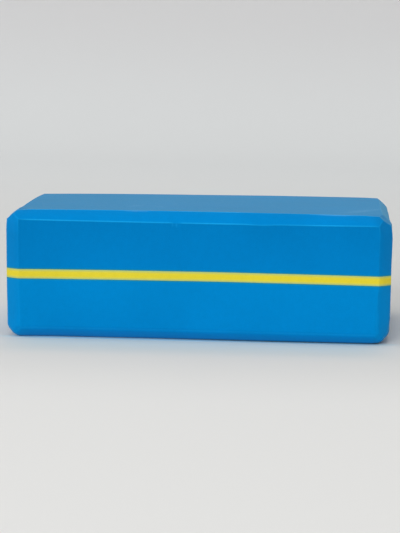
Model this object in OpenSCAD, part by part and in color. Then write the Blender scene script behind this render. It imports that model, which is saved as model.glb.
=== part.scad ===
// Laminated foam exercise block. Two thick slabs are bonded to a thin contrasting sheet between them,
// and the bonded stack is chamfered along all twelve edges in one go, so the faces run flush across it.
// +X runs along the length, +Y towards the back and +Z up. The origin is the middle of the underside.

/* [Block] */
// Length of the block
block_length = 228; // [150:1:320]
// Depth of the block from front to back
block_depth = 152; // [80:1:240]

/* [Layers] */
// Thickness of the slab that the block lies on
lower_thickness = 35.6; // [16:0.2:60]
// Thickness of the contrasting sheet
sheet_thickness = 5.6; // [1:0.2:20]
// Thickness of the slab on top
upper_thickness = 34.8; // [16:0.2:60]

/* [Edges] */
// Leg of the chamfer round the top and bottom rims
rim_chamfer = 6.2; // [2:0.1:12]
// Leg of the chamfer down each upright corner
corner_chamfer = 7.6; // [2:0.1:12]
// Radius that eases both edges of every chamfer
edge_radius = 1.5; // [0.2:0.1:3]

/* [Hidden] */
$fn = 64;
slab_blue = "#0382c4";
sheet_yellow = "#e1d134";
// Height of each bond line, and of the whole block
sheet_bottom = lower_thickness;
sheet_top = sheet_bottom + sheet_thickness;
block_height = sheet_top + upper_thickness;
// A chamfer turns each corner in two steps of this angle
chamfer_turn = 45;
// How far an eased edge reaches along the faces on both sides of it
ease_run = edge_radius * tan(chamfer_turn / 2);

// Rectangle with chamfered corners, centred, with an arc on each of its eight edges
module eased_outline(width, height, chamfer) {
    side_x = width / 2 - edge_radius;
    side_y = height / 2 - edge_radius;
    end_x = width / 2 - chamfer - ease_run;
    end_y = height / 2 - chamfer - ease_run;
    arc_centres = [
        [side_x, end_y], [end_x, side_y], [-end_x, side_y], [-side_x, end_y],
        [-side_x, -end_y], [-end_x, -side_y], [end_x, -side_y], [side_x, -end_y]
    ];
    // Straight runs, from where one arc ends to where the next begins
    polygon([
        for (i = [0 : len(arc_centres) - 1], turn = [i, i + 1])
            arc_centres[i] + edge_radius * [cos(chamfer_turn * turn), sin(chamfer_turn * turn)]
    ]);
    for (centre = arc_centres) translate(centre) circle(r = edge_radius);
}

// Outer form of the whole block: where its plan, front and end profiles overlap.
// Three chamfers meet in a mitred point at each of the eight corners.
module block_form() {
    intersection() {
        linear_extrude(height = block_height)
            eased_outline(block_length, block_depth, corner_chamfer);
        translate([0, block_depth / 2, block_height / 2])
            rotate([90, 0, 0])
            linear_extrude(height = block_depth)
            eased_outline(block_length, block_height, rim_chamfer);
        translate([-block_length / 2, 0, block_height / 2])
            rotate([90, 0, 90])
            linear_extrude(height = block_length)
            eased_outline(block_depth, block_height, rim_chamfer);
    }
}

// One level layer of the block, between two bond lines
module layer(bottom, thickness) {
    intersection() {
        block_form();
        translate([-block_length / 2, -block_depth / 2, bottom])
            cube([block_length, block_depth, thickness]);
    }
}

// Slab that the block lies on, with the bottom rim's chamfer
module lower_slab() {
    color(slab_blue) layer(0, lower_thickness);
}

// Thin sheet that shows as a stripe all the way round
module middle_sheet() {
    color(sheet_yellow) layer(sheet_bottom, sheet_thickness);
}

// Slab on top, with the top rim's chamfer
module upper_slab() {
    color(slab_blue) layer(sheet_top, upper_thickness);
}

lower_slab();
middle_sheet();
upper_slab();
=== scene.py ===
"""Laminated foam block: two thick blue slabs bonded to a thin yellow sheet, eased on every edge."""

import logging
import math
from dataclasses import dataclass, fields
from enum import Enum
from functools import reduce

import bmesh
import bpy
from mathutils import Matrix, Vector


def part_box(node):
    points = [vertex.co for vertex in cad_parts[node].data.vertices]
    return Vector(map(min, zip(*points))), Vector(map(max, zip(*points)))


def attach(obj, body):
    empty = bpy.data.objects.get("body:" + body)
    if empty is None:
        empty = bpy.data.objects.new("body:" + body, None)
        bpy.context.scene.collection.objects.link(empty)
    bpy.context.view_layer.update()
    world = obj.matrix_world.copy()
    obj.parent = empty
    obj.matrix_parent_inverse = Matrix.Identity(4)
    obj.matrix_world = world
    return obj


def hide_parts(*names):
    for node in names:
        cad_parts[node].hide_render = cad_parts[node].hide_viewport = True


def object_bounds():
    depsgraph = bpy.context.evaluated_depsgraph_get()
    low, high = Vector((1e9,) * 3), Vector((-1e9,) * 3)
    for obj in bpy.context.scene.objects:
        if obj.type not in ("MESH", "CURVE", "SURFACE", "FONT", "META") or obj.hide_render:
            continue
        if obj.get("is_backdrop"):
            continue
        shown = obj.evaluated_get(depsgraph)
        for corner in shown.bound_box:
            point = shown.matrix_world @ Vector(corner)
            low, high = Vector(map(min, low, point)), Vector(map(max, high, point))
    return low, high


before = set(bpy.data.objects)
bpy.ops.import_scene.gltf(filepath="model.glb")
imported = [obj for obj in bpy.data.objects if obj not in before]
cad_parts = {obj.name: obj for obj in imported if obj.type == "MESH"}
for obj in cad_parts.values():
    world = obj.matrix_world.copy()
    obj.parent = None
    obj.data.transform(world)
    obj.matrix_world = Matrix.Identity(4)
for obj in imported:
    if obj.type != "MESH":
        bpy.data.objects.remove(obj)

LOG = logging.getLogger("foam_block")
MM = 0.001
BODY = "root"

# Numbers stored on the points of each layer for its material: the distance to the nearest edge's
# easing, the share of a trimmed chamfer, and the height before the block settled.
EDGE_LAYER = "edge_distance"
CUT_LAYER = "cut_face"
HEIGHT_LAYER = "true_height"

Point = tuple[float, float, float]
Colour = tuple[float, float, float, float]
Socket = bpy.types.NodeSocket
Feed = Socket | bpy.types.ID | float | tuple | str
ORIGIN = (0.0, 0.0, 0.0)


def mm(*lengths: float) -> Point:
    """Return in metres what is given in millimetres."""
    return tuple(length * MM for length in lengths)


class Layer(Enum):
    """The three bonded layers, each under the name of its CAD node."""

    LOWER = "lower_slab"
    MIDDLE = "middle_sheet"
    UPPER = "upper_slab"


class NodeSheet:
    """A node tree under construction, with one short call for each kind of step."""

    def __init__(self, tree: bpy.types.NodeTree) -> None:
        """Start on a tree."""
        self.tree = tree

    def feed(self, node: bpy.types.Node, key: int | str, value: Feed) -> None:
        """Link a socket to an input, or set the input's own value.

        Args:
            node: The node whose input is fed.
            key: The input's place in the list, or its identifier.
            value: A socket to link from, or a plain value.
        """
        named = {socket.identifier: socket for socket in node.inputs}
        socket = node.inputs[key] if isinstance(key, int) else named[key]
        if isinstance(value, Socket):
            self.tree.links.new(value, socket)
        else:
            socket.default_value = value

    def add(
        self, kind: str, feeds: dict[int | str, Feed] | None = None, **settings: object
    ) -> bpy.types.Node:
        """Add a node, set its options and feed its inputs.

        Args:
            kind: Blender's identifier of the node type.
            feeds: What goes into which input.
            settings: The node's own options.

        Returns:
            The new node.
        """
        node = self.tree.nodes.new(kind)
        for name, value in settings.items():
            setattr(node, name, value)
        for key, value in (feeds or {}).items():
            self.feed(node, key, value)
        return node

    def shade(self, feeds: dict[str, Feed]) -> None:
        """Feed the inputs of a new material's own shader."""
        for key, value in feeds.items():
            self.feed(self.tree.nodes["Principled BSDF"], key, value)

    def math(self, operation: str, *values: Feed, clamp: bool = False) -> Socket:
        """Return the number that the Math node works out from up to three others."""
        feeds = dict(enumerate(values))
        return self.add("ShaderNodeMath", feeds, operation=operation, use_clamp=clamp).outputs[0]

    def product(self, *values: Feed) -> Socket:
        """Return the product of any number of numbers, multiplied from left to right."""
        return reduce(lambda left, right: self.math("MULTIPLY", left, right), values)

    def vector(self, operation: str, *values: Feed) -> Socket:
        """Return the vector that the Vector Math node works out from up to three others."""
        node = self.add("ShaderNodeVectorMath", dict(enumerate(values)), operation=operation)
        return node.outputs["Vector"]

    def scale(self, vector: Feed, factor: Feed) -> Socket:
        """Return a vector multiplied by a number."""
        feeds = {"Vector": vector, "Scale": factor}
        return self.add("ShaderNodeVectorMath", feeds, operation="SCALE").outputs["Vector"]

    def length(self, vector: Feed) -> Socket:
        """Return the length of a vector."""
        return self.add("ShaderNodeVectorMath", {0: vector}, operation="LENGTH").outputs["Value"]

    def combine(self, x: Feed, y: Feed, z: Feed) -> Socket:
        """Return a vector made of three numbers."""
        return self.add("ShaderNodeCombineXYZ", {0: x, 1: y, 2: z}).outputs[0]

    def split(self, vector: Feed) -> tuple[Socket, ...]:
        """Return the three numbers of a vector."""
        return tuple(self.add("ShaderNodeSeparateXYZ", {0: vector}).outputs)

    def blend(self, share: Feed, first: Feed, second: Feed) -> Socket:
        """Return the mix of two colours, with the share of the second one."""
        feeds = {"Factor_Float": share, "A_Color": first, "B_Color": second}
        return self.add("ShaderNodeMix", feeds, data_type="RGBA").outputs["Result"]

    def stored(self, name: str) -> Socket:
        """Return, in a material, a number that is stored on the mesh's points."""
        return self.add("ShaderNodeAttribute", attribute_name=name).outputs["Fac"]

    def ramp(
        self, value: Feed, start: Feed, end: Feed, low: Feed = 0.0, high: Feed = 1.0
    ) -> Socket:
        """Return a number eased from one range into another, and held at both ends."""
        feeds = {0: value, 1: start, 2: end, 3: low, 4: high}
        return self.add("ShaderNodeMapRange", feeds, interpolation_type="SMOOTHSTEP").outputs[0]

    def hill(self, value: Feed, start: Feed, full: Feed, fall: Feed, end: Feed) -> Socket:
        """Return a share that rises to 1 from start to full, and falls from fall to end."""
        return self.product(self.ramp(value, start, full), self.ramp(value, fall, end, 1.0, 0.0))


@dataclass(frozen=True)
class Pull:
    """A place where the soft foam has been pressed, trimmed or drawn out of true.

    Attributes:
        place: Its middle, in metres in the block's frame.
        reach: How far from there it fades out.
        shift: How far the middle has moved.
    """

    place: Point
    reach: float
    shift: Point


@dataclass(frozen=True)
class BlockForm:
    """The outer form that all layers share, with the departures that it has settled into.

    The form is a core, which is the chamfered block drawn in by the edge radius, and every point
    that lies that radius outside it. All sizes are in metres, and each number is an input of the
    tree that makes the form.

    Attributes:
        length: Size along X.
        depth: Size along Y.
        height: Size along Z.
        rim_chamfer: Leg of the chamfers round the top and the bottom.
        corner_chamfer: Leg of the chamfers on the four upright edges.
        edge_radius: Radius that eases each edge of the chamfers.
        base_radius: The same radius near the base, where the block has been set down most.
        pillow: How far the middle of an upper chamfer swells past its plane.
        base_pillow: How far the middle of a bottom chamfer does.
        band: Width of the strip beside each edge where the mesh lines crowd together.
        stand_off: How far outside the block the starting mesh stands.
        crown: Rise of the middle of the top over its ends.
        slope: How far the top's back edge lies below its middle.
        twist: How far the top's back corners are turned up at the right and down at the left.
        lean: How much further the left end stands out at the top than at the bottom.
        tuck: How far the base's front edge is tucked in along its left half.
        rim_wander: How far the front edge of the top chamfers dips at the middle against the ends.
        corner_drift: How far the upright chamfers' front edges have strayed to the right.
        ripple: Height of the slow unevenness of the surfaces.
        ripple_size: Width of one swell of that unevenness.
        seed: Picks the pattern of the unevenness.
        pulls: The places where the form departs from the rule.
    """

    length: float
    depth: float
    height: float
    rim_chamfer: float = 5.9 * MM
    corner_chamfer: float = 7.6 * MM
    edge_radius: float = 0.6 * MM
    base_radius: float = 4.0 * MM
    pillow: float = 0.35 * MM
    base_pillow: float = 0.3 * MM
    band: float = 10.0 * MM
    stand_off: float = 4.0 * MM
    crown: float = 0.75 * MM
    slope: float = 0.38 * MM
    twist: float = 0.42 * MM
    lean: float = 1.3 * MM
    tuck: float = 2.8 * MM
    rim_wander: float = 1.1 * MM
    corner_drift: float = 0.5 * MM
    ripple: float = 0.12 * MM
    ripple_size: float = 90.0 * MM
    seed: float = 3.0
    pulls: tuple[Pull, ...] = ()


class BlockFormTree(NodeSheet):
    """The Geometry Nodes tree that turns the sizes of a form into one layer of the block.

    Its methods work on the fields that the constructor names: where a point lies, and how far
    that is along the length and the depth, from -1 to 1, and up the height, from 0 to 1.
    """

    SIZES = tuple(item.name for item in fields(BlockForm) if item.type is float)
    LEVELS = ("layer_bottom", "layer_top")
    COUNTS = ("lines_x", "lines_y", "lines_z")
    RANGE_ENDS = ("From_Min_FLOAT3", "From_Max_FLOAT3", "To_Min_FLOAT3", "To_Max_FLOAT3")
    # Distances between the mesh lines, on the flats and in the crowded strips beside the edges.
    COARSE_STEP = 1.6 * MM
    FINE_STEP = 0.65 * MM
    # The chamfers' angle, the most that two triangles of one face differ, and how far from the
    # nearest axis the skin slants where it still counts as flat and where it is all chamfer.
    CHAMFER_ANGLE = math.radians(45.0)
    SAME_FACE = math.radians(10.0)
    FLAT_SLANT = math.radians(10.0)
    CUT_SLANT = math.radians(35.0)
    # Heights against the block's middle, between which the edges turn from worn to crisp and the
    # swelling from the bottom chamfers' to the upper ones', and the swelling's reach in chamfers.
    CRISP_SPAN = (-24.0 * MM, -8.0 * MM)
    PILLOW_SPAN = (-30.0 * MM, 0.0)
    PILLOW_REACH = 0.65
    # How the crown, the rim's dip, the lean, the drift and the tuck spread over the block.
    CROWN_LEVEL = 0.55
    CROWN_POWER = 0.4
    DIP_START = 0.75
    LEAN_LEVEL = 0.1
    DRIFT_SPAN = (0.93, 1.0)
    TUCK_SPAN = (-0.35, 0.5)
    TUCK_END = (-1.0, -0.75)
    TUCK_POWER = 3.0
    # The ripple's finer levels, the height at which it is whole, and its gain over the noise.
    RIPPLE_DETAIL = 2.5
    RIPPLE_RISE = 0.25
    RIPPLE_GAIN = 4.0

    def __init__(self, form: BlockForm) -> None:
        """Build the tree, which ends with a plain mesh in the foam's own material.

        Args:
            form: The form whose pulls are built in; all of its sizes stay inputs.
        """
        super().__init__(bpy.data.node_groups.new("foam_layer_form", "GeometryNodeTree"))
        self.form = form
        self.tree.is_modifier = True
        self.declare_sockets()
        self.size = {socket.name: socket for socket in self.add("NodeGroupInput").outputs}
        self.height = self.size["height"]
        box = self.combine(self.size["length"], self.size["depth"], self.height)
        self.half = self.scale(box, 0.5)
        self.place = self.add("GeometryNodeInputPosition").outputs[0]
        self.level = self.split(self.place)[2]
        self.across, self.back, up = self.split(self.vector("DIVIDE", self.place, self.half))
        self.rise = self.product(up, 0.5)
        layer = self.pull(self.settle(self.part_off(self.ease(self.stock()))))
        real = self.add("GeometryNodeRealizeInstances", {"Geometry": layer})
        feeds = {"Geometry": real.outputs[0], "Material": self.size["foam"]}
        dressed = self.add("GeometryNodeSetMaterial", feeds)
        self.add("NodeGroupOutput", {0: dressed.outputs[0]})

    def declare_sockets(self) -> None:
        """Name the tree's inputs and its output."""
        kinds = dict.fromkeys(self.SIZES + self.LEVELS, "NodeSocketFloat")
        kinds.update(dict.fromkeys(self.COUNTS, "NodeSocketInt"), foam="NodeSocketMaterial")
        face = self.tree.interface
        for name, kind in kinds.items():
            face.new_socket(name, in_out="INPUT", socket_type=kind)
        face.new_socket("Geometry", in_out="OUTPUT", socket_type="NodeSocketGeometry")

    def move(self, mesh: Feed, **where: Feed) -> Socket:
        """Return a mesh with its points moved to a Position or by an Offset."""
        return self.add("GeometryNodeSetPosition", {"Geometry": mesh, **where}).outputs[0]

    def corner_box(self, drawn_in: tuple[Feed, Feed, Feed]) -> Socket:
        """Return a box with eight of the core's corners, drawn in so far from the block's sides."""
        reach = self.vector("SUBTRACT", self.half, self.combine(*drawn_in))
        return self.add("GeometryNodeMeshCube", {"Size": self.scale(reach, 2.0)}).outputs[0]

    def core(self, radius: Feed) -> Socket:
        """Make the chamfered block, drawn in by the radius of its edges.

        Args:
            radius: That radius.

        Returns:
            The convex hull of its corners, which lie on four boxes.
        """
        rim = self.size["rim_chamfer"]
        corner = self.size["corner_chamfer"]
        run = self.product(radius, math.tan(self.CHAMFER_ANGLE / 2))
        rim_in = self.math("ADD", rim, run)
        corner_in = self.math("ADD", corner, run)
        diagonal = self.product(radius, math.sin(self.CHAMFER_ANGLE))
        half_corner = self.product(corner, 0.5)
        meet = self.math("ADD", half_corner, diagonal)
        meet_z = self.math("SUBTRACT", self.math("ADD", rim, diagonal), half_corner)
        join = self.add("GeometryNodeJoinGeometry")
        for drawn_in in (
            (rim_in, rim_in, radius),
            (corner_in, radius, rim_in),
            (radius, corner_in, rim_in),
            (meet, meet, meet_z),
        ):
            self.feed(join, 0, self.corner_box(drawn_in))
        return self.add("GeometryNodeConvexHull", {0: join.outputs[0]}).outputs[0]

    def stock(self) -> Socket:
        """Make the starting box round the block, its mesh lines crowded towards the edges.

        Returns:
            The box's mesh.
        """
        stand_off = self.size["stand_off"]
        reach = self.vector("ADD", self.half, self.combine(stand_off, stand_off, stand_off))
        feeds = {"Size": (2.0, 2.0, 2.0)}
        feeds.update({f"Vertices {name[-1].upper()}": self.size[name] for name in self.COUNTS})
        cube = self.add("GeometryNodeMeshCube", feeds)
        share = self.flat_share()
        along = self.vector("ABSOLUTE", self.place)
        strip = self.math("ADD", self.size["band"], stand_off)
        strip = self.combine(strip, strip, strip)
        inner = self.vector("SUBTRACT", reach, strip)
        flat = self.stretch(along, ORIGIN, share, ORIGIN, inner)
        crowded = self.stretch(along, share, (1.0, 1.0, 1.0), ORIGIN, strip)
        side = self.vector("SIGN", self.place)
        spread = self.vector("MULTIPLY", side, self.vector("ADD", flat, crowded))
        return self.move(cube.outputs["Mesh"], Position=spread)

    def line_counts(self) -> tuple[int, ...]:
        """Count the mesh lines that cross the sides of the starting mesh.

        Returns:
            Their number along each axis.
        """
        form = self.form
        crowded = round(2 * (form.band + form.stand_off) / self.FINE_STEP) + 1
        flats = [side - 2 * form.band for side in (form.length, form.depth, form.height)]
        return tuple(round(flat / self.COARSE_STEP) + crowded for flat in flats)

    def flat_share(self) -> Point:
        """Work out how much of the starting mesh lies on the flats.

        Returns:
            The share of the mesh lines that does, along each axis.
        """
        strip = round((self.form.band + self.form.stand_off) / self.FINE_STEP)
        halves = [(count - 1) / 2 for count in self.line_counts()]
        return tuple((half - strip) / half for half in halves)

    def stretch(self, value: Feed, *ends: Feed) -> Socket:
        """Return a vector brought evenly from one range into another, and held at both ends."""
        feeds = {"Vector": value, **dict(zip(self.RANGE_ENDS, ends))}
        return self.add("ShaderNodeMapRange", feeds, data_type="FLOAT_VECTOR").outputs["Vector"]

    def skin(self, core: Feed, radius: Feed) -> Socket:
        """Find the nearest place that lies one radius outside a core.

        Args:
            core: The chamfered block drawn in by that radius.
            radius: The radius.

        Returns:
            That place for each point.
        """
        feeds = {"Target": core, "Source Position": self.place}
        nearest = self.add("GeometryNodeProximity", feeds).outputs["Position"]
        outward = self.vector("NORMALIZE", self.vector("SUBTRACT", self.place, nearest))
        return self.vector("ADD", nearest, self.scale(outward, radius))

    def ease(self, stock: Feed) -> Socket:
        """Draw the starting mesh in to the block's skin, which is rounder near the base.

        Args:
            stock: The starting mesh.

        Returns:
            The eased block, standing on its base, with what its materials read of its edges
            and chamfers stored.
        """
        crisp_core = self.core(self.size["edge_radius"])
        crisp = self.skin(crisp_core, self.size["edge_radius"])
        worn = self.skin(self.core(self.size["base_radius"]), self.size["base_radius"])
        kept = self.ramp(self.level, *self.CRISP_SPAN)
        skin = self.vector("ADD", worn, self.scale(self.vector("SUBTRACT", crisp, worn), kept))
        moved = self.move(stock, Position=skin)
        marked = self.store(moved, EDGE_LAYER, self.edge_distance(crisp_core))
        marked = self.store(marked, CUT_LAYER, self.cut_share())
        swollen = self.move(marked, Offset=self.pillow())
        middle = self.combine(0.0, 0.0, self.product(self.height, 0.5))
        feeds = {"Geometry": swollen, "Translation": middle}
        return self.add("GeometryNodeTransform", feeds).outputs[0]

    def pillow(self) -> Socket:
        """Swell each chamfer softly between its edges.

        Returns:
            The offset of each point.
        """
        reach = self.product(self.size["rim_chamfer"], self.PILLOW_REACH)
        inward = self.math("DIVIDE", self.stored(EDGE_LAYER), reach, clamp=True)
        left = self.math("SUBTRACT", 1.0, inward)
        profile = self.math("SUBTRACT", 1.0, self.product(left, left))
        limits = (self.size["base_pillow"], self.size["pillow"])
        swell = self.ramp(self.level, *self.PILLOW_SPAN, *limits)
        height = self.product(profile, self.stored(CUT_LAYER), swell)
        return self.scale(self.add("GeometryNodeInputNormal").outputs[0], height)

    def stored(self, name: str) -> Socket:
        """Return a number that was stored on the mesh's points."""
        node = self.add("GeometryNodeInputNamedAttribute", {"Name": name}, data_type="FLOAT")
        return node.outputs[0]

    def store(self, mesh: Feed, name: str, value: Feed) -> Socket:
        """Return a mesh with a number stored on each of its points."""
        feeds = {"Geometry": mesh, "Name": name, "Value": value}
        return self.add("GeometryNodeStoreNamedAttribute", feeds, data_type="FLOAT").outputs[0]

    def cut_share(self) -> Socket:
        """Tell the trimmed chamfers from the flats by the skin's slant.

        Returns:
            One on a chamfer, zero on a flat, and a blend on the easing between them.
        """
        normal = self.add("GeometryNodeInputNormal").outputs[0]
        x, y, z = self.split(self.vector("ABSOLUTE", normal))
        largest = self.math("MAXIMUM", self.math("MAXIMUM", x, y), z)
        return self.ramp(largest, math.cos(self.CUT_SLANT), math.cos(self.FLAT_SLANT), 1.0, 0.0)

    def edge_distance(self, core: Feed) -> Socket:
        """Measure how far a point of the skin lies from where the nearest edge's easing ends.

        Args:
            core: The chamfered block drawn in by the edge radius.

        Returns:
            The distance in metres, zero on the easing itself.
        """
        feeds = {0: self.add("GeometryNodeInputMeshEdgeAngle").outputs[0], 1: self.SAME_FACE}
        flat = self.add("FunctionNodeCompare", feeds, data_type="FLOAT", operation="LESS_THAN")
        feeds = {"Geometry": core, "Selection": flat.outputs[0]}
        edges = self.add("GeometryNodeDeleteGeometry", feeds, domain="EDGE", mode="EDGE_FACE")
        feeds = {"Target": edges.outputs[0], "Source Position": self.place}
        near = self.add("GeometryNodeProximity", feeds, target_element="EDGES")
        squared = self.math("POWER", near.outputs["Distance"], 2.0)
        rise = self.math("POWER", self.size["edge_radius"], 2.0)
        left = self.math("MAXIMUM", self.math("SUBTRACT", squared, rise), 0.0)
        return self.math("SQRT", left)

    def part_off(self, block: Feed) -> Socket:
        """Keep the part of the block that lies between a layer's two bond planes.

        Args:
            block: The whole eased block.

        Returns:
            The layer as a closed mesh, with the height of each point stored.
        """
        bottom, top = (self.size[name] for name in self.LEVELS)
        across = self.product(self.size["length"], 2.0)
        back = self.product(self.size["depth"], 2.0)
        size = self.combine(across, back, self.math("SUBTRACT", top, bottom))
        middle = self.product(self.math("ADD", bottom, top), 0.5)
        box = self.add("GeometryNodeMeshCube", {"Size": size}).outputs["Mesh"]
        feeds = {"Geometry": box, "Translation": self.combine(0.0, 0.0, middle)}
        placed = self.add("GeometryNodeTransform", feeds).outputs[0]
        cut = self.add("GeometryNodeMeshBoolean", operation="INTERSECT", solver="MANIFOLD")
        for mesh in (block, placed):
            self.tree.links.new(mesh, cut.inputs["Mesh 2"])
        return self.store(cut.outputs["Mesh"], HEIGHT_LAYER, self.level)

    def settle(self, layer: Feed) -> Socket:
        """Give the layer the slight departures of a soft block cut from sheet foam.

        They are its crown, tilt and twist, the lean of its left end, the drift of its corners,
        the tuck of its base and its ripple.

        Args:
            layer: The layer in its true form.

        Returns:
            The layer as it has settled, with its base still flat.
        """
        lift = self.math("ADD", self.crown_lift(), self.tilt_lift())
        settled = self.combine(self.side_shift(), self.tuck_shift(), lift)
        return self.move(layer, Offset=self.vector("ADD", settled, self.ripple_offset()))

    def crown_lift(self) -> Socket:
        """Lift the middle of the length over its ends, but less along the rim chamfer's front edge.

        Returns:
            The lift in metres.
        """
        arch = self.math("SUBTRACT", self.CROWN_LEVEL, self.product(self.across, self.across))
        power = self.math("POWER", self.rise, self.CROWN_POWER)
        crown = self.product(power, self.size["crown"])
        edge = self.math("DIVIDE", self.size["rim_chamfer"], self.height)
        edge = self.math("SUBTRACT", 1.0, edge)
        near_edge = self.hill(self.rise, self.DIP_START, edge, edge, 1.0)
        dip = self.product(near_edge, self.size["rim_wander"])
        return self.product(arch, self.math("SUBTRACT", crown, dip))

    def tilt_lift(self) -> Socket:
        """Tilt the top a little backwards, and turn its back corners up and down.

        Returns:
            The lift in metres.
        """
        behind = self.math("ADD", self.back, 1.0)
        turned = self.product(self.across, behind, self.size["twist"])
        tilted = self.math("SUBTRACT", turned, self.product(self.back, self.size["slope"]))
        return self.product(tilted, self.rise)

    def side_shift(self) -> Socket:
        """Lean the left end outwards as it rises, and let all but the ends drift to the right.

        Returns:
            The shift along X in metres.
        """
        left = self.math("MULTIPLY", self.across, -1.0, clamp=True)
        tilt = self.math("SUBTRACT", self.LEAN_LEVEL, self.rise)
        lean = self.product(tilt, self.size["lean"], left)
        inside = self.ramp(self.math("ABSOLUTE", self.across), *self.DRIFT_SPAN, 1.0, 0.0)
        return self.math("ADD", lean, self.product(inside, self.size["corner_drift"]))

    def tuck_shift(self) -> Socket:
        """Tuck the front in towards the base, along the left half.

        Returns:
            The shift along Y in metres.
        """
        along = self.ramp(self.across, *self.TUCK_SPAN, self.size["tuck"], 0.0)
        inside = self.ramp(self.across, *self.TUCK_END)
        front = self.ramp(self.back, -1.0, 0.0, 1.0, 0.0)
        low = self.math("POWER", self.math("SUBTRACT", 1.0, self.rise), self.TUCK_POWER)
        return self.product(along, inside, front, low)

    def ripple_offset(self) -> Socket:
        """Make the slow unevenness of the surfaces, which fades out towards the base.

        Returns:
            The offset in metres.
        """
        feeds = {
            "Vector": self.place,
            "W": self.size["seed"],
            "Scale": self.math("DIVIDE", 1.0, self.size["ripple_size"]),
            "Detail": self.RIPPLE_DETAIL,
        }
        noise = self.add("ShaderNodeTexNoise", feeds, noise_dimensions="4D")
        swell = self.vector("SUBTRACT", noise.outputs["Color"], (0.5, 0.5, 0.5))
        gain = self.ramp(self.rise, 0.0, self.RIPPLE_RISE, 0.0, self.RIPPLE_GAIN)
        return self.scale(swell, self.product(self.size["ripple"], gain))

    def pull(self, layer: Feed) -> Socket:
        """Move the places where the form departs from the rule.

        Args:
            layer: The settled layer.

        Returns:
            The layer with its pulls.
        """
        offset = ORIGIN
        for pull in self.form.pulls:
            away = self.length(self.vector("SUBTRACT", self.place, pull.place))
            share = self.ramp(away, 0.0, pull.reach, 1.0, 0.0)
            offset = self.vector("ADD", offset, self.scale(pull.shift, share))
        return self.move(layer, Offset=offset)

    def shape(
        self, piece: bpy.types.Object, bottom: float, top: float, foam: bpy.types.Material
    ) -> None:
        """Give a piece the plain mesh that the tree makes from the sizes of its layer.

        Args:
            piece: The empty piece.
            bottom: Height of the layer's lower bond plane.
            top: Height of its upper bond plane.
            foam: The layer's material.
        """
        values = {name: getattr(self.form, name) for name in self.SIZES}
        values.update(zip(self.LEVELS + self.COUNTS, (bottom, top) + self.line_counts()))
        values["foam"] = foam
        items = self.tree.interface.items_tree
        identifiers = {item.name: item.identifier for item in items}
        modifier = piece.modifiers.new("form", "NODES")
        modifier.node_group = self.tree
        for name, value in values.items():
            modifier[identifiers[name]] = value
        graph = bpy.context.evaluated_depsgraph_get()
        kept = {"preserve_all_data_layers": True, "depsgraph": graph}
        shaped = bpy.data.meshes.new_from_object(piece.evaluated_get(graph), **kept)
        piece.modifiers.clear()
        piece.data = shaped


@dataclass(frozen=True)
class Scuff:
    """A rub or mark on the foam's skin.

    Attributes:
        place: Its middle, in metres in the block's frame.
        reach: How far it reaches along its own three axes.
        turn: Its turn about the upright axis, in degrees.
        strength: How much of its colour shows in the middle, from 0 to 1.
        colour: The colour that it tends to.
    """

    place: Point
    reach: Point
    turn: float = 0.0
    strength: float = 0.1
    colour: Colour = (0.35, 0.60, 0.85, 1.0)


@dataclass(frozen=True)
class FoamFinish:
    """A closed-cell foam's surface: its colour, with some painted light and shade, its cells and
    how it takes the light.

    Attributes:
        name: The material's name.
        slot: The record's material slot that it belongs to; it is not used.
        body: The foam's colour at the base.
        rubbed_and_highlight: The colour of the pale line along the eased edges, partly closed, worn
            cells and partly a painted highlight.
        bonded: The colour beside a bond, where the glue has soaked in.
        veil_tint: Colour of the sheen that the open cells show at a low angle.
        veil: Weight of that sheen.
        bond_reach: How far from a bond the bonded colour fades out.
        cut: How much lighter the trimmed chamfers are than the flats, partly for their open cells
            and partly as painted light, which is strongest on the upper rim.
        painted_height_shade: How much darker the foam is at the block's top than at its base; this
            is painted shade.
        painted_end_shade: How much darker it is at the left end than at the middle; this is painted
            shade.
        painted_base_shade: How much darker it is where its right half bears on the ground; this is
            a painted contact shadow, and it darkens that half of the underside too.
        clouding: How much the colour drifts over the surface.
        cell: Width of one cell, in metres.
        relief: Height of the cells' relief, in metres.
        roughness: Middle value of the surface's roughness.
        gloss: Specular level of the skin.
        scuffs: The rubs and marks on it.
        nicks: The nicks that break the rubbed line.
    """

    name: str
    slot: str
    body: Colour
    # The pale edge line's colour is partly wear and partly a painted highlight.
    rubbed_and_highlight: Colour
    bonded: Colour
    veil_tint: Colour = (0.52, 1.0, 0.95, 1.0)
    veil: float = 0.20
    bond_reach: float = 1.3 * MM
    # The chamfers' lightening is partly painted light; the three shades after it are painted shade.
    cut: float = 0.06
    painted_height_shade: float = 0.0
    painted_end_shade: float = 0.05
    painted_base_shade: float = 0.0
    clouding: float = 0.03
    cell: float = 0.45 * MM
    relief: float = 0.02 * MM
    roughness: float = 0.6
    gloss: float = 0.005
    scuffs: tuple[Scuff, ...] = ()
    nicks: tuple[Pull, ...] = ()

    def material(self, bonds: tuple[float, float]) -> bpy.types.Material:
        """Build the foam's material.

        Args:
            bonds: Heights of the two bonds, in metres.

        Returns:
            The material, which reads object coordinates and the block's own attributes.
        """
        material = bpy.data.materials.new(self.name)
        material.use_nodes = True
        material.diffuse_color = self.body
        FoamSkin(material.node_tree, self, bonds).paint()
        return material


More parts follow.
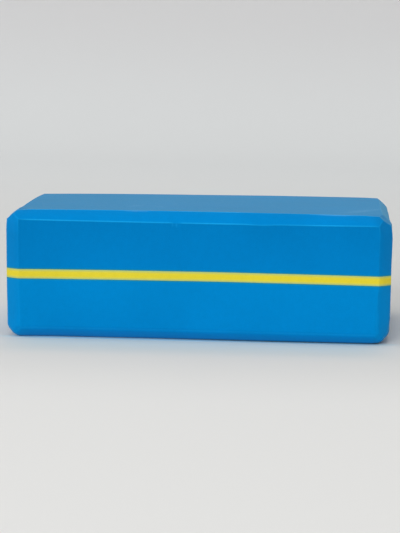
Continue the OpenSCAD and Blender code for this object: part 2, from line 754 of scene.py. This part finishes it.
class FoamSkin(NodeSheet):
    """The nodes of one foam finish, which share their coordinates, cells and drifts."""

    # Width and finer levels of the slow clouding and of the fine mottling.
    CLOUD = (45.0 * MM, 3.0)
    MOTTLE = (4.0 * MM, 2.0)
    # What the light level and the roughness make of the drifts and the cells.
    DRIFT_SPAN = (0.25, 0.75)
    MOTTLING = 0.015
    CELL_SPAN = (0.0, 0.8)
    CELL_LEVELS = (1.02, 0.95)
    ROUGH_SPAN = (0.3, 0.7)
    ROUGH_SWING = 0.05
    VEIL_ROUGHNESS = 0.4
    # The pale line along the edges, partly worn cells and partly a painted highlight: its width,
    # how the clouding breaks it, where it and the chamfers' lightening are strongest, and how far
    # the nicks clear it, in their own reaches.
    PALE_LINE_WIDTH = 0.35 * MM
    BREAK_GAIN = 1.1
    BREAK_OFFSET = -0.02
    RIM_WEAR_AND_LIGHT = (60.0 * MM, 70.0 * MM)
    END_WEAR_AND_LIGHT = (101.0 * MM, 108.0 * MM)
    SIDE_WEAR_AND_LIGHT = 0.35
    NICK_SPREAD = 1.8
    # The painted shade at the left end, the painted contact shadow where the base bears on the
    # ground, and how much of the chamfers' partly painted light is kept at the right end.
    PAINTED_END_SPAN = (-107.0 * MM, -20.0 * MM)
    PAINTED_BASE_SPAN = (-40.0 * MM, 50.0 * MM)
    PAINTED_BASE_HEIGHT = (0.2 * MM, 1.5 * MM)
    RIGHT_END_CUT = 0.2
    BLOCK_HEIGHT = 76.0 * MM
    # How much the mottling frays a scuff, and where the frayed scuff fades.
    FRAYING = 0.6
    SCUFF_SPAN = (0.3, 1.3)

    def __init__(
        self, tree: bpy.types.NodeTree, finish: FoamFinish, bonds: tuple[float, float]
    ) -> None:
        """Lay out what the parts of the finish share.

        Args:
            tree: The material's node tree.
            finish: The finish.
            bonds: Heights of the two bonds, in metres.
        """
        super().__init__(tree)
        self.finish = finish
        self.bonds = bonds
        self.place = self.add("ShaderNodeTexCoord").outputs["Object"]
        self.across, _, self.up = self.split(self.place)
        feeds = {"Vector": self.place, "Scale": 1 / finish.cell}
        self.cells = self.add("ShaderNodeTexVoronoi", feeds).outputs["Distance"]
        self.cloud = self.drift(*self.CLOUD)
        self.mottle = self.drift(*self.MOTTLE)
        # Share by height of the pale edge line and of the chamfers' lightening, full on the upper
        # rim; both are partly painted light.
        self.rim_wear_and_light = self.ramp(self.up, *self.RIM_WEAR_AND_LIGHT, self.SIDE_WEAR_AND_LIGHT, 1.0)

    def drift(self, size: float, detail: float) -> Socket:
        """Return a number that wanders round one half over the surface, in swells of a size."""
        feeds = {"Vector": self.place, "Scale": 1 / size, "Detail": detail}
        return self.add("ShaderNodeTexNoise", feeds).outputs["Fac"]

    def paint(self) -> None:
        """Feed the material's shader."""
        finish = self.finish
        # The pale edge line, partly wear and partly a painted highlight.
        colour = self.blend(self.rub_and_highlight(), finish.body, finish.rubbed_and_highlight)
        colour = self.blend(self.bond_share(), colour, finish.bonded)
        limits = (finish.roughness - self.ROUGH_SWING, finish.roughness + self.ROUGH_SWING)
        feeds = {"Strength": 1.0, "Distance": finish.relief, "Height": self.cells}
        self.shade({
            "Base Color": self.scuff(self.scale(colour, self.level())),
            "Roughness": self.ramp(self.mottle, *self.ROUGH_SPAN, *limits),
            "Normal": self.add("ShaderNodeBump", feeds).outputs[0],
            "Specular IOR Level": finish.gloss,
            "Sheen Weight": finish.veil,
            "Sheen Roughness": self.VEIL_ROUGHNESS,
            "Sheen Tint": finish.veil_tint,
        })

    def bond_share(self) -> Socket:
        """Find where the glue of a bond has soaked into the foam.

        Returns:
            The share of the colour beside a bond.
        """
        height = self.stored(HEIGHT_LAYER)
        away = [self.math("ABSOLUTE", self.math("SUBTRACT", height, bond)) for bond in self.bonds]
        return self.ramp(self.math("MINIMUM", *away), 0.0, self.finish.bond_reach, 1.0, 0.0)

    def rub_and_highlight(self) -> Socket:
        """Find the pale line along the edges, partly wear and partly a painted highlight, which is
        mostly along the upper rim.

        Returns:
            The share of the pale line's colour.
        """
        line = self.ramp(self.stored(EDGE_LAYER), 0.0, self.PALE_LINE_WIDTH, 1.0, 0.0)
        gains = (self.BREAK_GAIN, self.BREAK_OFFSET)
        worn = self.math("MULTIPLY_ADD", self.cloud, *gains, clamp=True)
        outward = self.math("ABSOLUTE", self.across)
        end_fade = self.ramp(outward, *self.END_WEAR_AND_LIGHT, 1.0, self.SIDE_WEAR_AND_LIGHT)
        kept = self.product(self.rim_wear_and_light, end_fade)
        for nick in self.finish.nicks:
            away = self.length(self.vector("SUBTRACT", self.place, nick.place))
            kept = self.product(kept, self.ramp(away, 0.0, nick.reach * self.NICK_SPREAD))
        return self.product(line, worn, kept)

    def level(self) -> Socket:
        """Work out how light the foam is against its body colour, with the painted light on its
        chamfers and the painted shade at its top, left end and base.

        Returns:
            A factor round one.
        """
        finish = self.finish
        rise = self.math("DIVIDE", self.up, self.BLOCK_HEIGHT)
        # Painted light, partly the open cells of the cut: the upper chamfers are lighter, and less
        # so at the right end.
        right_end_fade = self.ramp(self.across, *self.END_WEAR_AND_LIGHT, 1.0, self.RIGHT_END_CUT)
        chamfer_lightening = self.product(self.stored(CUT_LAYER), self.rim_wear_and_light, right_end_fade)
        # Painted contact shadow along the base's right half, which also covers that half of the
        # underside.
        painted_base_darkening = self.ramp(self.across, *self.PAINTED_BASE_SPAN, 0.0, -finish.painted_base_shade)
        painted_base_darkening = self.product(painted_base_darkening, self.ramp(self.up, *self.PAINTED_BASE_HEIGHT, 1.0, 0.0))
        return self.product(
            self.ramp(self.cloud, *self.DRIFT_SPAN, 1 - finish.clouding, 1 + finish.clouding),
            self.ramp(self.mottle, *self.DRIFT_SPAN, 1 - self.MOTTLING, 1 + self.MOTTLING),
            self.ramp(self.cells, *self.CELL_SPAN, *self.CELL_LEVELS),
            self.math("MULTIPLY_ADD", chamfer_lightening, finish.cut, 1.0),
            # Painted shade: darker towards the top.
            self.math("MULTIPLY_ADD", rise, -finish.painted_height_shade, 1.0),
            # Painted shade: darker towards the left end.
            self.ramp(self.across, *self.PAINTED_END_SPAN, 1.0 - finish.painted_end_shade, 1.0),
            self.math("ADD", painted_base_darkening, 1.0),
        )

    def scuff(self, colour: Feed) -> Feed:
        """Lay the scuffs over the foam.

        Args:
            colour: The foam's colour without them.

        Returns:
            The colour with them.
        """
        for scuff in self.finish.scuffs:
            away = self.vector("SUBTRACT", self.place, scuff.place)
            feeds = {"Vector": away, "Angle": -math.radians(scuff.turn)}
            turned = self.add("ShaderNodeVectorRotate", feeds, rotation_type="Z_AXIS").outputs[0]
            length = self.length(self.vector("DIVIDE", turned, scuff.reach))
            frayed = self.math("MULTIPLY_ADD", self.mottle, self.FRAYING, length)
            share = self.ramp(frayed, *self.SCUFF_SPAN, scuff.strength, 0.0)
            colour = self.blend(share, colour, scuff.colour)
        return colour


@dataclass(frozen=True)
class FoamBlock:
    """The laminated block: its form and how its layers are parted and joined.

    Attributes:
        form: The outer form that the layers share.
        bond_easing: Width of the fine bevel where two layers meet.
        bond_drop: How far the bonds have come out below their planes.
        overrun: How far the outermost layers reach past the block before they are trimmed.
    """

    form: BlockForm
    bond_easing: float = 0.15 * MM
    bond_drop: float = 0.25 * MM
    overrun: float = 10.0 * MM

    BOND_ANGLE = math.radians(60.0)
    SHARP_ANGLE = math.radians(30.0)
    WELD_DISTANCE = 0.001 * MM

    def bonds(self) -> tuple[float, float]:
        """Return the heights of the two bonds."""
        low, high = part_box(Layer.MIDDLE.value)
        return low.z - self.bond_drop, high.z - self.bond_drop

    def build(self, tree: BlockFormTree, layer: Layer, finish: FoamFinish) -> bpy.types.Object:
        """Make one layer, hang it on the block's body and hide the CAD part that it stands for.

        Args:
            tree: The Geometry Nodes tree of the form.
            layer: Which layer it is.
            finish: The layer's finish.

        Returns:
            The finished piece.
        """
        low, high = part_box(layer.value)
        bottom = low.z - (self.overrun if layer is Layer.LOWER else self.bond_drop)
        top = high.z + (self.overrun if layer is Layer.UPPER else -self.bond_drop)
        name = f"{layer.value}_foam"
        piece = bpy.data.objects.new(name, bpy.data.meshes.new(name))
        bpy.context.scene.collection.objects.link(piece)
        tree.shape(piece, bottom, top, finish.material(self.bonds()))
        self.ease_bonds(piece.data)
        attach(piece, BODY)
        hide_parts(layer.value)
        return piece

    def ease_bonds(self, mesh: bpy.types.Mesh) -> None:
        """Bevel the cut edges very finely, so that each bond shows as a hairline.

        Args:
            mesh: The layer's mesh.
        """
        form = bmesh.new()
        form.from_mesh(mesh)
        bmesh.ops.remove_doubles(form, verts=form.verts, dist=self.WELD_DISTANCE)
        cuts = [edge for edge in form.edges if edge.calc_face_angle(0.0) > self.BOND_ANGLE]
        bmesh.ops.bevel(
            form, geom=cuts, offset=self.bond_easing, segments=1, affect="EDGES", clamp_overlap=True
        )
        for face in form.faces:
            face.smooth = True
        form.to_mesh(mesh)
        form.free()
        mesh.set_sharp_from_angle(angle=self.SHARP_ANGLE)


@dataclass(frozen=True)
class SoftLamp:
    """A square soft lamp that faces the block.

    Attributes:
        name: Its name.
        level: What it adds to a white card that faces it.
        turn: How far to the left of the front it stands, in degrees.
        lift: How high it stands, in degrees.
        size: Width of its box, in metres.
        distance: How far it stands from the block, in metres.
    """

    name: str
    level: float
    turn: float
    lift: float
    size: float = 1.8
    distance: float = 4.5

    def hang(self) -> None:
        """Hang the lamp, out of the camera's sight and turned to the block."""
        turn = math.radians(self.turn)
        lift = math.radians(self.lift)
        flat = math.cos(lift)
        out = Vector((-math.sin(turn) * flat, -math.cos(turn) * flat, math.sin(lift)))
        lamp = bpy.data.lights.new(self.name, "AREA")
        lamp.shape = "SQUARE"
        lamp.size = self.size
        lamp.energy = self.level * math.pi**2 * self.distance**2
        holder = bpy.data.objects.new(self.name, lamp)
        holder.location = out * self.distance
        holder.rotation_mode = "QUATERNION"
        holder.rotation_quaternion = out.to_track_quat("Z", "Y")
        holder.visible_camera = False
        bpy.context.scene.collection.objects.link(holder)


@dataclass(frozen=True)
class Studio:
    """The plain pale room: a floor that sweeps up into a backdrop, a dome and soft lamps.

    Attributes:
        dome: Radiance of the soft light from all round.
        lamps: The soft lamps.
        floor: Colour of the paper under the block.
        blue_cast: Its colour right in front of the block, where a painted reflection of the foam's
            blue lies.
        painted_contact_bounce: Its colour along the block's front edge, where that painted blue
            reflection is strongest.
        foreground: Colour of the paper in front of it.
        under_lamp: Colour of the paper close to the front lamp, which lights it most.
        far_floor: Colour of the paper where it starts to rise behind the block.
        backdrop: Colour of the upright part.
    """

    dome: float = 0.48
    lamps: tuple[SoftLamp, ...] = (
        SoftLamp("front_lamp", 0.51, turn=11.0, lift=20.0),
        SoftLamp("side_lamp", 0.16, turn=80.0, lift=32.0),
        SoftLamp("top_lamp", 0.14, turn=0.0, lift=88.0),
        SoftLamp("back_lamp", 0.14, turn=180.0, lift=50.0),
    )
    floor: Colour = (0.705, 0.702, 0.686, 1.0)
    blue_cast: Colour = (0.61, 0.695, 0.71, 1.0)
    painted_contact_bounce: Colour = (0.50, 0.82, 0.92, 1.0)
    foreground: Colour = (0.787, 0.785, 0.771, 1.0)
    under_lamp: Colour = (0.33, 0.33, 0.325, 1.0)
    far_floor: Colour = (0.765, 0.782, 0.782, 1.0)
    backdrop: Colour = (0.68, 0.678, 0.681, 1.0)

    # The sweep's section and width, in metres, and the steps of its curve.
    HALF_WIDTH = 6.0
    FRONT = -4.0
    SWEEP_START = 1.6
    SWEEP_RADIUS = 1.2
    WALL_TOP = 5.0
    SWEEP_STEPS = 24
    # Where the paper changes tone and where its painted blue reflection lies: places behind the
    # block's middle, along it, and up the wall.
    LAMP_FADE = (-3.0, -0.8)
    FLOOR_FADE = (-0.30, -0.09)
    PAINTED_BOUNCE_BAND = (-0.15, -0.08, -0.07, -0.05)
    PAINTED_CONTACT_BAND = (-0.0785, -0.0705, -0.068, -0.066)
    PAINTED_BOUNCE_ENDS = (0.09, 0.125)
    FAR_START = 0.1
    FADE_HEIGHT = 0.25
    PAPER_ROUGHNESS = 0.9

    def build(self) -> None:
        """Set up the sweep, the dome and the lamps."""
        self.build_sweep()
        self.build_dome()
        for lamp in self.lamps:
            lamp.hang()

    def build_sweep(self) -> None:
        """Make the floor and backdrop as one curved sheet, from points of its section."""
        section = [(self.FRONT, 0.0)]
        for step in range(self.SWEEP_STEPS + 1):
            turn = 0.5 * math.pi * step / self.SWEEP_STEPS
            back = self.SWEEP_START + self.SWEEP_RADIUS * math.sin(turn)
            section.append((back, self.SWEEP_RADIUS * (1.0 - math.cos(turn))))
        section.append((self.SWEEP_START + self.SWEEP_RADIUS, self.WALL_TOP))
        mesh = bpy.data.meshes.new("studio_sweep")
        points = [(side * self.HALF_WIDTH, y, z) for y, z in section for side in (-1, 1)]
        faces = [(2 * i, 2 * i + 1, 2 * i + 3, 2 * i + 2) for i in range(len(section) - 1)]
        mesh.from_pydata(points, [], faces)
        mesh.shade_smooth()
        mesh.materials.append(self.paper())
        sweep = bpy.data.objects.new("studio_sweep", mesh)
        bpy.context.scene.collection.objects.link(sweep)
        sweep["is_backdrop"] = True

    def paper(self) -> bpy.types.Material:
        """Build the sweep's paper, which changes tone from the front to the backdrop and has a
        painted blue reflection in front of the block.

        Returns:
            The material.
        """
        material = bpy.data.materials.new("studio_paper")
        material.use_nodes = True
        sheet = NodeSheet(material.node_tree)
        across, back, up = sheet.split(sheet.add("ShaderNodeTexCoord").outputs["Object"])
        near = sheet.blend(sheet.ramp(back, *self.FLOOR_FADE), self.foreground, self.floor)
        # Painted reflection: the foam's blue, bounced onto the paper, is painted in two bands in
        # front of the block.
        beside = sheet.ramp(sheet.math("ABSOLUTE", across), *self.PAINTED_BOUNCE_ENDS, 1.0, 0.0)
        painted_bounces = {self.PAINTED_BOUNCE_BAND: self.blue_cast, self.PAINTED_CONTACT_BAND: self.painted_contact_bounce}
        for place, bounce_colour in painted_bounces.items():
            share = sheet.product(sheet.hill(back, *place), beside)
            near = sheet.blend(share, near, bounce_colour)
        near = sheet.blend(sheet.ramp(back, *self.LAMP_FADE), self.under_lamp, near)
        wall = sheet.blend(sheet.ramp(up, 0.0, self.FADE_HEIGHT), self.far_floor, self.backdrop)
        far = sheet.ramp(back, self.FAR_START, self.SWEEP_START)
        sheet.shade({
            "Base Color": sheet.blend(far, near, wall),
            "Roughness": self.PAPER_ROUGHNESS,
            "Specular IOR Level": 0.0,
        })
        return material

    def build_dome(self) -> None:
        """Light the room softly from all round."""
        world = bpy.data.worlds.new("studio_dome")
        world.use_nodes = True
        background = world.node_tree.nodes["Background"]
        background.inputs["Color"].default_value = (1.0, 1.0, 1.0, 1.0)
        background.inputs["Strength"].default_value = self.dome
        bpy.context.scene.world = world


@dataclass(frozen=True)
class Viewpoint:
    """Where the camera stands and how it is turned.

    Attributes:
        place: Its position, in metres.
        lens: Its focal length on a 36 mm sensor.
        yaw: Turn of its gaze to the left, in radians.
        pitch: How far it looks down, in radians.
        roll: Its turn about its own axis, in radians.
        reach: The least and the greatest distance that it sees, in metres.
    """

    place: Point = (0.072745, -1.367540, 0.186864)
    lens: float = 149.08
    yaw: float = 0.05528
    pitch: float = 0.10941
    roll: float = 0.01545
    reach: tuple[float, float] = (0.05, 50.0)

    def set_up(self) -> None:
        """Make the camera and give it to the scene."""
        camera = bpy.data.objects.new("camera", bpy.data.cameras.new("camera"))
        camera.data.lens = self.lens
        camera.data.clip_start, camera.data.clip_end = self.reach
        turned = Matrix.Rotation(self.yaw, 4, "Z")
        turned = turned @ Matrix.Rotation(0.5 * math.pi - self.pitch, 4, "X")
        turned = turned @ Matrix.Rotation(self.roll, 4, "Z")
        camera.matrix_world = Matrix.Translation(self.place) @ turned
        bpy.context.scene.collection.objects.link(camera)
        bpy.context.scene.camera = camera


# Where this block is out of true, and the nick in its front rim.
NICK = Pull(mm(-13.3, -76.2, 70), 2.8 * MM, mm(0, 0.4, -0.4))
PULLS = (
    Pull(mm(-108, 41, 76), 84 * MM, mm(-1.5, 0, 0)),
    Pull(mm(-109, -44, 75), 37 * MM, mm(0.1, 0, -0.3)),
    Pull(mm(-111.5, -67, 75.5), 12.5 * MM, mm(0.8, 0, -0.7)),
    Pull(mm(112, 66, 73), 35 * MM, mm(0.3, 0, 0)),
    Pull(mm(109, 71, 76), 12 * MM, mm(-0.6, 0, -0.2)),
    Pull(mm(113, -27, 71), 47 * MM, mm(-0.45, 0, 0)),
    Pull(mm(108.5, -70, 76), 14 * MM, mm(-2.3, 0.3, -0.3)),
    Pull(mm(114, -70, 63), 18 * MM, mm(0.3, 0, 0)),
    Pull(mm(114, -68, 6), 10 * MM, mm(-0.9, 0, 0)),
    Pull(mm(109, -69, 0), 8 * MM, mm(-0.5, 0, 0.6)),
    Pull(mm(-10, 76, 76), 60 * MM, mm(0, 0, -0.12)),
    Pull(mm(20, -76, 38), 55 * MM, mm(0, 0, 0.12)),
    Pull(mm(37, -76.5, 68.5), 12 * MM, mm(0, 0, -0.4)),
    Pull(mm(107, -76.5, 12), 13 * MM, mm(-0.8, 0, 0)),
    Pull(mm(107, -76.5, 25), 13 * MM, mm(-0.8, 0, 0)),
    Pull(mm(107, -76.5, 48), 12 * MM, mm(-0.4, 0, 0)),
    Pull(mm(107, -76.5, 60), 12 * MM, mm(-0.4, 0, 0)),
    NICK,
)
# The faint rubs on its top and behind its front rim, and the marks beside the nick.
NICK_MARK = {"reach": mm(0.9, 3, 2), "colour": (0.01, 0.30, 0.68, 1.0)}
SCUFFS = (
    Scuff(mm(97, -37, 76), mm(30, 7, 5), turn=60.0, strength=0.10),
    Scuff(mm(-40.9, -34, 76), mm(4.5, 12, 4), turn=-20.0, strength=0.07),
    Scuff(mm(-25.4, -38, 76), mm(3.5, 8, 4), turn=35.0, strength=0.07),
    Scuff(mm(-37, -70, 76), mm(14, 1.5, 1.5), strength=0.14),
    Scuff(mm(80, -70, 76), mm(20, 1.5, 1.5), strength=0.14),
    Scuff(mm(-15.3, -76, 69), strength=0.28, **NICK_MARK),
    Scuff(mm(-13, -76, 69), strength=0.30, **NICK_MARK),
)
# In each finish the pale edge line is partly a painted highlight and the chamfers' lightening is
# partly painted light; the height, end and base shades are painted shade.
FINISHES = {
    Layer.LOWER: FoamFinish(
        "lower_blue_foam",
        slot="blue_foam",
        body=(0.0, 0.226, 0.575, 1.0),
        rubbed_and_highlight=(0.01, 0.34, 0.76, 1.0),
        bonded=(0.012, 0.24, 0.36, 1.0),
        painted_end_shade=0.02,
        painted_base_shade=0.6,
    ),
    Layer.MIDDLE: FoamFinish(
        "yellow_foam",
        slot="yellow_foam",
        body=(0.75, 0.62, 0.038, 1.0),
        rubbed_and_highlight=(0.85, 0.74, 0.15, 1.0),
        bonded=(0.47, 0.57, 0.18, 1.0),
        veil_tint=(1.0, 1.0, 0.8, 1.0),
        bond_reach=1.85 * MM,
    ),
    Layer.UPPER: FoamFinish(
        "upper_blue_foam",
        slot="blue_foam",
        body=(0.0, 0.226, 0.596, 1.0),
        rubbed_and_highlight=(0.01, 0.38, 0.82, 1.0),
        bonded=(0.012, 0.26, 0.36, 1.0),
        cut=0.19,
        painted_height_shade=0.19,
        scuffs=SCUFFS,
        nicks=(NICK,),
    ),
}


def main() -> None:
    """Build the camera, the room and the three layers of the block."""
    logging.basicConfig(level=logging.INFO, format="%(name)s: %(message)s")
    cad_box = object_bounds()
    bpy.context.scene.view_settings.view_transform = "Standard"
    Viewpoint().set_up()
    Studio().build()
    low, high = cad_box
    form = BlockForm(*(high - low), pulls=PULLS)
    block = FoamBlock(form)
    tree = BlockFormTree(form)
    for layer, finish in FINISHES.items():
        piece = block.build(tree, layer, finish)
        LOG.info("%s: %d faces", piece.name, len(piece.data.polygons))


if __name__ == "__main__":
    main()
